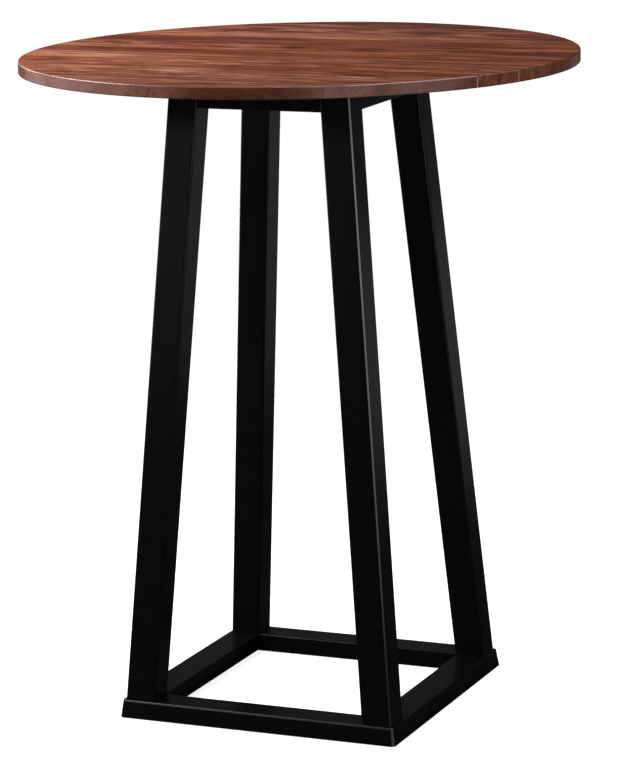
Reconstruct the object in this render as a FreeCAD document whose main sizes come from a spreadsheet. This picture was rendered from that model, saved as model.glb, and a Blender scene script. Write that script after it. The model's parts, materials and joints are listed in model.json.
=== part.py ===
"""Round bar-height table: an edge-glued walnut top on four black legs that lean inwards
from a flat, mitred base frame up to a small ring of aprons.

Lengths are in millimetres. X runs along the grain of the top, -Y is the front, +Z is up,
and the origin is on the floor under the centre of the table.
"""
import FreeCAD, Part
import os
import Sketcher

# Every driving size: its name in the sheet, its value and what it is.
SIZES = (
    ("table_height", 1067, "floor to the upper face of the top"),
    ("top_diameter", 900, "across the round top"),
    ("top_thickness", 19, "of the staves"),
    ("top_arris", 1.5, "chamfer of the rim's two edges"),
    ("stave_01", 70, "widths of the staves in the glued-up board, from the front to the back:"),
    ("stave_02", 73, "the round top is cut from the middle of it and is as wide as all of them"),
    ("stave_03", 81, ""),
    ("stave_04", 81, ""),
    ("stave_05", 85, ""),
    ("stave_06", 68, ""),
    ("stave_07", 80, ""),
    ("stave_08", 90, ""),
    ("stave_09", 85, ""),
    ("stave_10", 77, ""),
    ("stave_11", 70, ""),
    ("stave_12", 40, ""),
    ("head_width", 306, "over the legs along X, under the top"),
    ("head_depth", 328, "over the legs along Y, under the top"),
    ("base_width", 484, "of the base frame along X, at its foot"),
    ("base_depth", 484, "of the base frame along Y, at its foot"),
    ("rail_flare", 4, "how far the base frame's outer faces spread from their upper edge to their foot"),
    ("foot_reveal", 5, "from the base frame's upper outer edge in to the legs"),
    ("leg_thickness", 51, "square section of a leg"),
    ("leg_arris", 3.5, "radius of a leg's long edges"),
    ("apron_depth", 54, "height of an apron"),
    ("apron_thickness", 22, "of an apron"),
    ("apron_arris", 1.5, "radius of an apron's lower edges"),
    ("rail_width", 57, "of a base rail, at its foot"),
    ("rail_height", 29, "of a base rail"),
    ("rail_arris", 3, "radius of the base frame's long upper edges"),
    ("rail_foot_arris", 1, "radius of its long lower edges"),
    ("base_corner", 8, "radius of the base frame's corners, seen from above"),
    ("block_height", 25, "of a corner block behind a leg"),
    ("block_arm", 75, "of a corner block along each apron"),
    ("block_end", 12, "width of a corner block at the end of its arm"),
    ("dowel_diameter", 8, "of every dowel"),
    ("dowel_chamfer", 0.8, "at a dowel's ends"),
    ("dowel_slip", 0.1, "how much wider a dowel's hole is"),
    ("apron_dowel_length", 30, "of a dowel between an apron and a leg"),
    ("apron_dowel_spacing", 26, "between the two dowels of one joint"),
    ("mitre_dowel_length", 28, "of a dowel across a mitre of the base frame"),
    ("mitre_dowel_inset", 10, "from the mitre's inner end to its first dowel"),
    ("mitre_dowel_spacing", 40, "between the two dowels of one mitre"),
    ("end_gap", 1, "left at the bottom of a blind hole"),
    ("bolt_clearance", 0.6, "how much wider a bolt's or screw's clearance hole is"),
    ("thread_slip", 0.1, "how much wider a threaded hole is"),
    ("hanger_diameter", 8, "of the stud that pulls a leg into its corner"),
    ("hanger_bite", 34, "of that stud in the leg"),
    ("hanger_proud", 3, "of that stud beyond its nut"),
    ("hanger_washer_diameter", 20, ""),
    ("hanger_washer_thickness", 1.6, ""),
    ("nut_width", 13, "across the flats"),
    ("nut_height", 6.5, ""),
    ("block_screw_diameter", 4, "of the screws from a corner block into an apron"),
    ("block_screw_bite", 14, "in the apron"),
    ("block_screw_seat", 16, "wood of the block under the head"),
    ("block_screw_inset", 60, "from the apron's inner corner"),
    ("block_screw_head", 8, "diameter of the head"),
    ("block_screw_head_height", 3, ""),
    ("top_screw_diameter", 4.5, "of the screws that hold the top down"),
    ("top_screw_bite", 13, "in the top"),
    ("top_screw_arm", 47, "from the aprons' inner corner, along one apron"),
    ("top_screw_inset", 14, "and from that apron's inner face"),
    ("top_screw_head", 9, "diameter of the head"),
    ("top_screw_head_height", 3.5, ""),
    ("top_screw_slot", 10, "length of its slot, across the grain of the top"),
    ("top_washer_diameter", 14, ""),
    ("top_washer_thickness", 1.2, ""),
    ("base_bolt_diameter", 6, "of the bolts from the base frame into a leg"),
    ("base_bolt_bite", 14, "in the leg's threaded insert"),
    ("base_bolt_seat", 14, "wood of the rail above the washer"),
    ("base_bolt_offset", 8, "of each of a leg's two bolts from its middle, in X and in Y"),
    ("base_bolt_head", 10, "diameter of the head"),
    ("base_bolt_head_height", 6, ""),
    ("base_bolt_socket", 5, "across the flats of the hexagon socket"),
    ("base_bolt_socket_depth", 3, ""),
    ("base_washer_diameter", 13, ""),
    ("base_washer_thickness", 1.6, ""),
    ("counterbore_clearance", 1.5, "how much wider a counterbore is than what lies in it"),
    ("insert_diameter", 10, "outside of a threaded insert"),
    ("insert_length", 15, ""),
    ("glide_diameter", 22, "of the round pads under the base frame"),
    ("glide_thickness", 4, ""),
    ("glide_proud", 1, "height of the base frame above the floor"),
    ("glide_arris", 0.6, "chamfer of a glide's lower edge"),
    ("glide_inset", 75, "from the end of the front or back rail"),
    ("glide_slip", 0.2, "how much wider a glide's recess is"),
    ("glide_screw_diameter", 3, ""),
    ("glide_screw_length", 16, "with its countersunk head"),
    ("glide_screw_head", 6, "diameter of the head"),
    ("glide_screw_depth", 1.2, "of the head's face inside the pad"),
)

STAVES = [alias for alias, _, _ in SIZES if alias.startswith("stave_")]

# Heights and places that several pieces share, worked out from the sizes.
PLACES = (
    ("board_width", " + ".join(f"sizes.{stave}" for stave in STAVES)),
    ("stave_share", "sizes.top_diameter / board_width"),
    ("top_radius", "sizes.top_diameter / 2"),
    ("top_underside", "sizes.table_height - sizes.top_thickness"),
    ("apron_foot", "top_underside - sizes.apron_depth"),
    ("block_foot", "top_underside - sizes.block_height"),
    ("rail_top", "sizes.glide_proud + sizes.rail_height"),
    ("leg_rise", "top_underside - rail_top"),
    ("half_base_x", "sizes.base_width / 2"),
    ("half_base_y", "sizes.base_depth / 2"),
    ("half_head_x", "half_base_x - sizes.rail_flare"),
    ("half_head_y", "half_base_y - sizes.rail_flare"),
    ("foot_x", "half_head_x - sizes.foot_reveal"),
    ("foot_y", "half_head_y - sizes.foot_reveal"),
    ("lean_x", "(foot_x - sizes.head_width / 2) / leg_rise"),
    ("lean_y", "(foot_y - sizes.head_depth / 2) / leg_rise"),
    # inner faces of the aprons at the top's underside: the corner blocks are set out from them
    ("bay_x", "sizes.head_width / 2 - sizes.apron_thickness"),
    ("bay_y", "sizes.head_depth / 2 - sizes.apron_thickness"),
    ("block_inner_x", "bay_x - sizes.block_arm"),
    ("block_inner_y", "bay_y - sizes.block_arm"),
    ("block_middle", "top_underside - sizes.block_height / 2"),
    # inner corner of a leg at the height of its stud, and how far the block's sawn face is from it
    ("hanger_leg_x", "sizes.head_width / 2 + lean_x * sizes.block_height / 2 - sizes.leg_thickness"),
    ("hanger_leg_y", "sizes.head_depth / 2 + lean_y * sizes.block_height / 2 - sizes.leg_thickness"),
    ("hanger_step", "(hanger_leg_x + hanger_leg_y - block_inner_x - bay_y + sizes.block_end) / 2"),
    ("hanger_wood", "hanger_step * sqrt(2)"),
    ("base_bolt_seat_z", "rail_top - sizes.base_bolt_seat"),
    ("middle_x", "foot_x - sizes.leg_thickness / 2"),
    ("middle_y", "foot_y - sizes.leg_thickness / 2"),
)

QUARTERS = ((-1, -1, "front_left"), (1, -1, "front_right"), (-1, 1, "back_left"), (1, 1, "back_right"))
ROUND = ((-1, -1), (1, -1), (1, 1), (-1, 1))  # the four quarters again, in order round the table
UP = (0, 0, 1)
BEYOND = 5          # how far a cutting tool runs past the wood it opens
LEVEL = 0.3         # an edge whose direction has less z than this counts as level
NEAR = 0.01

doc = FreeCAD.newDocument("pub_table")
nodes = []


# ---------------------------------------------------------------- sheets and small helpers

def fill_sheet(name, rows):
    """A spreadsheet with one alias to a row; rows give alias, text of the cell and a note."""
    sheet = doc.addObject("Spreadsheet::Sheet", name)
    for row, (alias, text, note) in enumerate(rows, start=1):
        sheet.set(f"A{row}", note)
        sheet.set(f"B{row}", text)
        sheet.setAlias(f"B{row}", alias)
    doc.recompute()
    return sheet


def number(expression):
    """The present value of an expression."""
    value = sizes.evalExpression(str(expression))
    return float(getattr(value, "Value", value))


def bind(item, **expressions):
    """Ties properties of an object to expressions."""
    for name, expression in expressions.items():
        item.setExpression(name, str(expression))


def signed(side, expression):
    """An expression mirrored to one side of the table."""
    return f"({expression})" if side > 0 else f"-({expression})"


def reach(side, near, far):
    """The range from near to far, measured outwards from the middle towards one side."""
    return (signed(side, near), signed(side, far)) if side > 0 else (signed(side, far), signed(side, near))


def outer_x(height):
    """Half the width over the legs at a height."""
    return f"sizes.head_width / 2 + places.lean_x * (places.top_underside - ({height}))"


def outer_y(height):
    """Half the depth over the legs at a height."""
    return f"sizes.head_depth / 2 + places.lean_y * (places.top_underside - ({height}))"


def origin_plane(body, role):
    return next(item for item in body.Origin.OriginFeatures if item.Role == role)


def keep(item, name):
    """Names a finished sub-part and puts it on the list of nodes."""
    item.Label = name
    nodes.append(item)
    return item


# ---------------------------------------------------------------- ways of making a solid

def outline(body, name, role, height, corners):
    """A closed polygon sketched on one of the body's own planes, every corner tied to expressions."""
    sketch = body.newObject("Sketcher::SketchObject", name)
    sketch.AttachmentSupport = [(origin_plane(body, role), "")]
    sketch.MapMode = "FlatFace"
    sketch.setExpression("AttachmentOffset.Base.z", str(height))
    points = [FreeCAD.Vector(number(x), number(y), 0) for x, y in corners]
    for start, end in zip(points, points[1:] + points[:1]):
        sketch.addGeometry(Part.LineSegment(start, end), False)
    for index, corner in enumerate(corners):
        following = (index + 1) % len(corners)
        sketch.addConstraint(Sketcher.Constraint("Coincident", index, 2, following, 1))
        for kind, axis, place in (("DistanceX", -2, corner[0]), ("DistanceY", -1, corner[1])):
            if place == "0":
                sketch.addConstraint(Sketcher.Constraint("PointOnObject", index, 1, axis))
                continue
            row = sketch.addConstraint(Sketcher.Constraint(kind, -1, 1, index, 1, number(place)))
            sketch.setExpression(f"Constraints[{row}]", place)
    return sketch


def raise_pad(body, sketch, thickness):
    pad = body.newObject("PartDesign::Pad", f"{body.Name}_pad")
    pad.Profile = sketch
    bind(pad, Length=thickness)
    doc.recompute()
    return pad


def sink_pocket(body, sketch, depth):
    """A pocket upwards from its sketch."""
    before = body.Shape.Volume
    pocket = body.newObject("PartDesign::Pocket", f"{body.Name}_pocket")
    pocket.Profile = sketch
    pocket.Reversed = True
    bind(pocket, Length=depth)
    doc.recompute()
    if pocket.Shape.Volume >= before:
        raise RuntimeError(f"{pocket.Name} cuts nothing")
    return pocket


def edge_names(feature, chosen):
    return [f"Edge{i}" for i, edge in enumerate(feature.Shape.Edges, start=1) if chosen(edge)]


def ease(body, feature, radius, chosen):
    """Rounds the edges of a feature that the test picks out."""
    fillet = body.newObject("PartDesign::Fillet", f"{feature.Name}_eased")
    fillet.Base = (feature, edge_names(feature, chosen))
    bind(fillet, Radius=radius)
    doc.recompute()
    return fillet


def chamfer(body, feature, size, chosen):
    """Takes the corner off the edges of a feature that the test picks out."""
    bevel = body.newObject("PartDesign::Chamfer", f"{feature.Name}_chamfered")
    bevel.Base = (feature, edge_names(feature, chosen))
    bind(bevel, Size=size)
    doc.recompute()


def is_level(edge):
    return abs(edge.tangentAt(edge.FirstParameter).z) < LEVEL


def leaning_board(name, foot, head, bottom, top):
    """A board cut level at both ends. foot and head give its x and y ranges at those ends."""
    body = doc.addObject("PartDesign::Body", name)
    board = body.newObject("PartDesign::AdditiveWedge", f"{name}_board")
    board.AttachmentSupport = [(origin_plane(body, "XZ_Plane"), "")]
    board.MapMode = "FlatFace"
    # on that plane the wedge's own Y is the table's Z, and its own Z is the table's -Y
    bind(board, Ymin=bottom, Ymax=top,
         Xmin=foot[0][0], Xmax=foot[0][1], Zmin=f"-({foot[1][1]})", Zmax=f"-({foot[1][0]})",
         X2min=head[0][0], X2max=head[0][1], Z2min=f"-({head[1][1]})", Z2max=f"-({head[1][0]})")
    doc.recompute()
    return body, board


def turned(name, profile):
    """A solid of revolution about +Z from the (radius, height) corners of half its section."""
    body = doc.addObject("PartDesign::Body", name)
    sketch = outline(body, f"{name}_profile", "XZ_Plane", "0", profile)
    spin = body.newObject("PartDesign::Revolution", f"{name}_spin")
    spin.Profile = sketch
    spin.ReferenceAxis = (sketch, ["V_Axis"])
    doc.recompute()
    return body


def rod(name, diameter, start, end):
    """A plain cylinder about +Z between two heights."""
    radius = f"({diameter}) / 2"
    return turned(name, [("0", start), (radius, start), (radius, end), ("0", end)])


def ring(name, diameter, hole, start, end):
    """A washer about +Z between two heights."""
    outer, inner = f"({diameter}) / 2", f"({hole}) / 2"
    return turned(name, [(inner, start), (outer, start), (outer, end), (inner, end)])


def hexagon(name, across_flats, height, start):
    """A prism about +Z. A new one has six sides."""
    prism = doc.addObject("Part::Prism", name)
    bind(prism, Circumradius=f"({across_flats}) / sqrt(3)", Height=height)
    prism.setExpression("Placement.Base.z", str(start))
    return prism


def placed(name, pattern, spots):
    """Copies of a pattern. A spot is x, y, z and the direction that the pattern's +Z takes there."""
    copies = []
    for index, (x, y, z, direction) in enumerate(spots, start=1):
        copy = doc.addObject("App::Link", f"{name}_{index}")
        copy.LinkedObject = pattern
        turn = FreeCAD.Rotation(FreeCAD.Vector(*UP), FreeCAD.Vector(*direction))
        copy.Placement = FreeCAD.Placement(FreeCAD.Vector(), turn)
        for axis, place in zip("xyz", (x, y, z)):
            copy.setExpression(f"Placement.Base.{axis}", str(place))
        copies.append(copy)
    return copies


def group(name, pattern, spots):
    """Like pieces that share one node."""
    compound = doc.addObject("Part::Compound", name)
    compound.Links = placed(f"{name}_piece", pattern, spots)
    return keep(compound, name)


def joined(name, tools):
    fuse = doc.addObject("Part::MultiFuse", name)
    fuse.Shapes = tools
    doc.recompute()
    return fuse


def cut(name, base, tool):
    result = doc.addObject("Part::Cut", name)
    result.Base = base
    result.Tool = tool
    doc.recompute()
    return result


def common(name, base, tool):
    result = doc.addObject("Part::Common", name)
    result.Base = base
    result.Tool = tool
    doc.recompute()
    return result


# ---------------------------------------------------------------- where the fasteners go

def apron_dowel_spots():
    """Two dowels at each end of each apron, centred on the face where it meets the leg."""
    spots = []
    middle = "places.top_underside - sizes.apron_depth / 2"
    for side_x, side_y, _ in QUARTERS:
        for step in (-1, 1):
            z = f"{middle} + {step} * sizes.apron_dowel_spacing / 2"
            end_x = signed(side_x, f"{outer_x(z)} - sizes.leg_thickness")
            in_y = signed(side_y, f"{outer_y(z)} - sizes.apron_thickness / 2")
            spots.append((end_x, in_y, z, (1, 0, 0)))
            in_x = signed(side_x, f"{outer_x(z)} - sizes.apron_thickness / 2")
            end_y = signed(side_y, f"{outer_y(z)} - sizes.leg_thickness")
            spots.append((in_x, end_y, z, (0, 1, 0)))
    return spots


def hanger_spots():
    """One stud to a leg, level, from the block's sawn face through the leg's inner corner."""
    return [(signed(side_x, "places.hanger_leg_x - places.hanger_step"),
             signed(side_y, "places.hanger_leg_y - places.hanger_step"),
             "places.block_middle", (side_x, side_y, 0)) for side_x, side_y, _ in QUARTERS]


def block_screw_spots():
    """Two screws to a block, one square to each apron, at the seat under the head."""
    spots = []
    z = "places.block_middle"
    for side_x, side_y, _ in QUARTERS:
        inset_x = signed(side_x, "places.bay_x - sizes.block_screw_inset")
        seat_y = signed(side_y, f"{outer_y(z)} - sizes.apron_thickness - sizes.block_screw_seat")
        spots.append((inset_x, seat_y, z, (0, side_y, 0)))
        seat_x = signed(side_x, f"{outer_x(z)} - sizes.apron_thickness - sizes.block_screw_seat")
        inset_y = signed(side_y, "places.bay_y - sizes.block_screw_inset")
        spots.append((seat_x, inset_y, z, (side_x, 0, 0)))
    return spots


def top_screw_spots(height):
    """Two screws to a block, upright, one in each arm."""
    spots = []
    for side_x, side_y, _ in QUARTERS:
        for from_x, from_y in (("top_screw_arm", "top_screw_inset"), ("top_screw_inset", "top_screw_arm")):
            spots.append((signed(side_x, f"places.bay_x - sizes.{from_x}"),
                          signed(side_y, f"places.bay_y - sizes.{from_y}"), height, UP))
    return spots


def base_bolt_spots(height):
    """Two bolts to a leg, upright, one through each of the two rails that meet under it."""
    spots = []
    for side_x, side_y, _ in QUARTERS:
        for step in (-1, 1):
            spots.append((signed(side_x, f"places.middle_x + {step} * sizes.base_bolt_offset"),
                          signed(side_y, f"places.middle_y - {step} * sizes.base_bolt_offset"), height, UP))
    return spots


def mitre_dowel_spots():
    """Two dowels square across each mitre of the base frame."""
    spots = []
    z = "sizes.glide_proud + sizes.rail_height / 2"
    for side_x, side_y, _ in QUARTERS:
        for along in ("sizes.mitre_dowel_inset", "sizes.mitre_dowel_inset + sizes.mitre_dowel_spacing"):
            spots.append((signed(side_x, f"places.half_base_x - sizes.rail_width + ({along}) / sqrt(2)"),
                          signed(side_y, f"places.half_base_y - sizes.rail_width + ({along}) / sqrt(2)"),
                          z, (side_x, -side_y, 0)))
    return spots


def glide_spots(height):
    """One glide near each end of the front and back rails, on the rail's middle line."""
    return [(signed(side_x, "places.half_base_x - sizes.glide_inset"),
             signed(side_y, "places.half_base_y - sizes.rail_width / 2"), height, UP)
            for side_x, side_y, _ in QUARTERS]


# ---------------------------------------------------------------- the top

def make_top():
    """The round top, sawn into staves along its glue lines, with pilot holes for its screws."""
    blank = doc.addObject("PartDesign::Body", "top_blank")
    sketch = blank.newObject("Sketcher::SketchObject", "top_circle")
    sketch.AttachmentSupport = [(origin_plane(blank, "XY_Plane"), "")]
    sketch.MapMode = "FlatFace"
    sketch.setExpression("AttachmentOffset.Base.z", "places.top_underside")
    middle = FreeCAD.Vector()
    sketch.addGeometry(Part.Circle(middle, FreeCAD.Vector(*UP), number("places.top_radius")), False)
    sketch.addConstraint(Sketcher.Constraint("Coincident", 0, 3, -1, 1))
    row = sketch.addConstraint(Sketcher.Constraint("Diameter", 0, number("sizes.top_diameter")))
    sketch.setExpression(f"Constraints[{row}]", "sizes.top_diameter")
    disc = raise_pad(blank, sketch, "sizes.top_thickness")
    chamfer(blank, disc, "sizes.top_arris", is_level)

    pilot = rod("top_screw_pilot", "sizes.top_screw_diameter + sizes.thread_slip",
                f"-{BEYOND}", "sizes.top_screw_bite + sizes.end_gap")
    holes = joined("top_pilots", placed("top_pilot", pilot, top_screw_spots("places.top_underside")))
    drilled = cut("top_drilled", blank, holes)

    low = "-places.top_radius"
    for stave in STAVES:
        width = f"sizes.{stave} * places.stave_share"
        strip = doc.addObject("Part::Box", f"strip_{stave}")
        bind(strip, Length="sizes.top_diameter", Width=width, Height="sizes.top_thickness")
        for axis, place in zip("xyz", ("-places.top_radius", low, "places.top_underside")):
            strip.setExpression(f"Placement.Base.{axis}", place)
        keep(common(f"top_{stave}", drilled, strip), f"top_{stave}")
        low = f"{low} + {width}"


# ---------------------------------------------------------------- the leaning frame

def make_legs(holes):
    """Four square bars that lean both ways, cut level at the foot and at the head."""
    bars = {}
    for side_x, side_y, corner in QUARTERS:
        foot = (reach(side_x, "places.foot_x - sizes.leg_thickness", "places.foot_x"),
                reach(side_y, "places.foot_y - sizes.leg_thickness", "places.foot_y"))
        head = (reach(side_x, "sizes.head_width / 2 - sizes.leg_thickness", "sizes.head_width / 2"),
                reach(side_y, "sizes.head_depth / 2 - sizes.leg_thickness", "sizes.head_depth / 2"))
        body, bar = leaning_board(f"leg_bar_{corner}", foot, head, "places.rail_top", "places.top_underside")
        ease(body, bar, "sizes.leg_arris", lambda edge: not is_level(edge))
        bars[corner] = body
        keep(cut(f"leg_{corner}", body, holes), f"leg_{corner}")
    return bars


def apron_range(outer, height, side):
    """Across an apron at a height: from its inner to its outer face."""
    return reach(side, f"{outer(height)} - sizes.apron_thickness", outer(height))


def between_legs(outer, height):
    """Along an apron at a height: from leg to leg."""
    half = f"{outer(height)} - sizes.leg_thickness"
    return (signed(-1, half), signed(1, half))


def make_aprons(holes):
    """Four aprons between the legs, leaning with them so that their outer faces are flush."""
    low, high = "places.apron_foot", "places.top_underside"
    for side, name in ((-1, "front"), (1, "back")):
        foot = (between_legs(outer_x, low), apron_range(outer_y, low, side))
        head = (between_legs(outer_x, high), apron_range(outer_y, high, side))
        finish_apron(f"apron_{name}", foot, head, low, high, holes)
    for side, name in ((-1, "left"), (1, "right")):
        foot = (apron_range(outer_x, low, side), between_legs(outer_y, low))
        head = (apron_range(outer_x, high, side), between_legs(outer_y, high))
        finish_apron(f"apron_{name}", foot, head, low, high, holes)


def finish_apron(name, foot, head, low, high, holes):
    body, board = leaning_board(f"{name}_sawn", foot, head, low, high)
    bottom = number(low)

    def is_long_and_low(edge):
        return edge.BoundBox.ZMax < bottom + NEAR and edge.Length > 2 * number("sizes.apron_thickness")

    ease(body, board, "sizes.apron_arris", is_long_and_low)
    keep(cut(name, body, holes), name)


def make_corner_blocks(bars, holes):
    """A block in each corner of the aprons, notched round the leg, with a face sawn at 45 degrees."""
    low, high = "places.block_foot", "places.top_underside"
    for side_x, side_y, corner in QUARTERS:
        ends = [(reach(side_x, "places.block_inner_x", f"{outer_x(height)} - sizes.apron_thickness"),
                 reach(side_y, "places.block_inner_y", f"{outer_y(height)} - sizes.apron_thickness"))
                for height in (low, high)]
        body, _ = leaning_board(f"block_sawn_{corner}", ends[0], ends[1], low, high)
        waste = outline(body, f"block_waste_{corner}", "XY_Plane", low, [
            (signed(side_x, "places.block_inner_x"), signed(side_y, "places.block_inner_y")),
            (signed(side_x, "places.bay_x - sizes.block_end"), signed(side_y, "places.block_inner_y")),
            (signed(side_x, "places.block_inner_x"), signed(side_y, "places.bay_y - sizes.block_end"))])
        sink_pocket(body, waste, "sizes.block_height")
        notched = cut(f"block_notched_{corner}", body, bars[corner])
        keep(cut(f"corner_block_{corner}", notched, holes), f"corner_block_{corner}")


# ---------------------------------------------------------------- the base frame

def make_base(holes):
    """The flat frame on the floor, rounded as one piece and parted at its mitres into four rails."""
    foot = (reach(1, "-places.half_base_x", "places.half_base_x"),
            reach(1, "-places.half_base_y", "places.half_base_y"))
    head = (reach(1, "-places.half_head_x", "places.half_head_x"),
            reach(1, "-places.half_head_y", "places.half_head_y"))
    blank, slab = leaning_board("base_blank", foot, head, "sizes.glide_proud", "places.rail_top")
    ease(blank, slab, "sizes.base_corner", lambda edge: not is_level(edge))
    square = [(signed(x, "places.half_base_x"), signed(y, "places.half_base_y")) for x, y in ROUND]
    window = [(signed(x, "places.half_base_x - sizes.rail_width"),
               signed(y, "places.half_base_y - sizes.rail_width")) for x, y in ROUND]
    opened = sink_pocket(blank, outline(blank, "base_window", "XY_Plane", "sizes.glide_proud", window),
                         "sizes.rail_height")
    bottom, top = number("sizes.glide_proud"), number("places.rail_top")
    upper = ease(blank, opened, "sizes.rail_arris", lambda edge: edge.BoundBox.ZMin > top - NEAR)
    ease(blank, upper, "sizes.rail_foot_arris", lambda edge: edge.BoundBox.ZMax < bottom + NEAR)
    drilled = cut("base_drilled", blank, holes)

    names = ("front", "right", "back", "left")
    for index, name in enumerate(names):
        following = (index + 1) % len(names)
        corners = [square[index], square[following], window[following], window[index]]
        part = doc.addObject("PartDesign::Body", f"mitre_{name}")
        raise_pad(part, outline(part, f"mitre_outline_{name}", "XY_Plane", "sizes.glide_proud", corners),
                  "sizes.rail_height")
        keep(common(f"base_rail_{name}", drilled, part), f"base_rail_{name}")


# ---------------------------------------------------------------- dowels, bolts and screws

def dowel(name, length):
    half, radius = f"({length}) / 2", "sizes.dowel_diameter / 2"
    tip = f"{radius} - sizes.dowel_chamfer"
    return turned(name, [("0", f"-{half}"), (tip, f"-{half}"), (radius, f"-{half} + sizes.dowel_chamfer"),
                         (radius, f"{half} - sizes.dowel_chamfer"), (tip, half), ("0", half)])


def dowel_drill(name, length):
    half = f"(({length}) / 2 + sizes.end_gap)"
    return rod(name, "sizes.dowel_diameter + sizes.dowel_slip", f"-{half}", half)


def headed(name, head, head_height, diameter, length):
    """A screw or bolt: its head below z = 0, its shank up to a short point."""
    radius, wide, low = f"({diameter}) / 2", f"({head}) / 2", f"-({head_height})"
    return turned(name, [("0", low), (wide, low), (wide, "0"), (radius, "0"),
                         (radius, f"({length}) - {radius}"), (f"{radius} / 2", length), ("0", length)])


def make_dowels():
    group("apron_dowels", dowel("apron_dowel", "sizes.apron_dowel_length"), apron_dowel_spots())
    group("mitre_dowels", dowel("mitre_dowel", "sizes.mitre_dowel_length"), mitre_dowel_spots())


def make_hangers():
    """The studs that pull the legs into their corners, with a washer and a nut on each."""
    washer, nut = "sizes.hanger_washer_thickness", "sizes.nut_height"
    tail = f"-({washer} + {nut} + sizes.hanger_proud)"
    length = "places.hanger_wood + sizes.hanger_bite"
    radius = "sizes.hanger_diameter / 2"
    stud = turned("hanger_stud", [("0", tail), (radius, tail), (radius, f"{length} - {radius}"),
                                  (f"{radius} / 2", length), ("0", length)])
    group("hanger_bolts", stud, hanger_spots())
    hole = "sizes.hanger_diameter + sizes.bolt_clearance"
    group("hanger_washers", ring("hanger_washer", "sizes.hanger_washer_diameter", hole, f"-{washer}", "0"),
          hanger_spots())
    blank = hexagon("nut_blank", "sizes.nut_width", nut, f"-({washer} + {nut})")
    thread = rod("nut_thread", "sizes.hanger_diameter + sizes.thread_slip",
                 f"-({washer} + {nut}) - {BEYOND}", f"{BEYOND}")
    group("hanger_nuts", cut("hanger_nut", blank, thread), hanger_spots())


def make_screws():
    """The screws of the corner blocks, of the top and of the glides."""
    group("block_screws",
          headed("block_screw", "sizes.block_screw_head", "sizes.block_screw_head_height",
                 "sizes.block_screw_diameter", "sizes.block_screw_seat + sizes.block_screw_bite"),
          block_screw_spots())
    seat = "places.block_foot - sizes.top_washer_thickness"
    group("top_screws",
          headed("top_screw", "sizes.top_screw_head", "sizes.top_screw_head_height",
                 "sizes.top_screw_diameter",
                 "sizes.top_washer_thickness + sizes.block_height + sizes.top_screw_bite"),
          top_screw_spots(seat))
    group("top_screw_washers",
          ring("top_washer", "sizes.top_washer_diameter", "sizes.top_screw_diameter + sizes.bolt_clearance",
               "0", "sizes.top_washer_thickness"),
          top_screw_spots(seat))
    head, shank = "sizes.glide_screw_head / 2", "sizes.glide_screw_diameter / 2"
    cone = f"{head} - {shank}"
    end = "sizes.glide_screw_length"
    group("glide_screws",
          turned("glide_screw", [("0", "0"), (head, "0"), (shank, cone), (shank, f"{end} - {shank}"),
                                 (f"{shank} / 2", end), ("0", end)]),
          glide_spots("sizes.glide_screw_depth"))


def make_base_bolts():
    """The bolts that hold the legs down on the base frame, their washers and threaded inserts."""
    washer = "sizes.base_washer_thickness"
    under_head = f"places.base_bolt_seat_z - {washer}"
    bolt = headed("base_bolt_blank", "sizes.base_bolt_head", "sizes.base_bolt_head_height",
                  "sizes.base_bolt_diameter", f"{washer} + sizes.base_bolt_seat + sizes.base_bolt_bite")
    socket = hexagon("base_bolt_socket_tool", "sizes.base_bolt_socket",
                     f"sizes.base_bolt_socket_depth + {BEYOND}",
                     f"-sizes.base_bolt_head_height - {BEYOND}")
    group("base_bolts", cut("base_bolt", bolt, socket), base_bolt_spots(under_head))
    group("base_bolt_washers",
          ring("base_washer", "sizes.base_washer_diameter", "sizes.base_bolt_diameter + sizes.bolt_clearance",
               "0", washer),
          base_bolt_spots(under_head))
    group("leg_inserts",
          ring("leg_insert", "sizes.insert_diameter", "sizes.base_bolt_diameter + sizes.thread_slip",
               "0", "sizes.insert_length"),
          base_bolt_spots("places.rail_top"))


def make_glides():
    """The four nylon pads that the table stands on, each its own piece."""
    radius, edge = "sizes.glide_diameter / 2", "sizes.glide_arris"
    head, shank = "sizes.glide_screw_head / 2", "(sizes.glide_screw_diameter + sizes.thread_slip) / 2"
    face = "sizes.glide_screw_depth"
    for spot, (_, _, corner) in zip(glide_spots("0"), QUARTERS):
        pad = turned(f"glide_pad_{corner}", [
            (head, "0"), (f"{radius} - {edge}", "0"), (radius, edge), (radius, "sizes.glide_thickness"),
            (shank, "sizes.glide_thickness"), (shank, f"{face} + {head} - {shank}"), (head, face)])
        for axis, place in zip("xyz", spot[:3]):
            pad.setExpression(f"Placement.Base.{axis}", place)
        keep(pad, f"glide_{corner}")


# ---------------------------------------------------------------- holes for them

def leg_holes():
    dowels = placed("leg_dowel_hole", apron_dowel_drill, apron_dowel_spots())
    stud = rod("hanger_leg_drill", "sizes.hanger_diameter + sizes.thread_slip", "0",
               "places.hanger_wood + sizes.hanger_bite + sizes.end_gap")
    studs = placed("leg_stud_hole", stud, hanger_spots())
    insert = rod("insert_drill", "sizes.insert_diameter", f"-{BEYOND}", "sizes.insert_length + sizes.end_gap")
    inserts = placed("leg_insert_hole", insert, base_bolt_spots("places.rail_top"))
    return joined("leg_holes", dowels + studs + inserts)


def apron_holes():
    dowels = placed("apron_dowel_hole", apron_dowel_drill, apron_dowel_spots())
    pilot = rod("block_screw_pilot", "sizes.block_screw_diameter + sizes.thread_slip", "0",
                "sizes.block_screw_seat + sizes.block_screw_bite + sizes.end_gap")
    return joined("apron_holes", dowels + placed("apron_pilot", pilot, block_screw_spots()))


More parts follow.
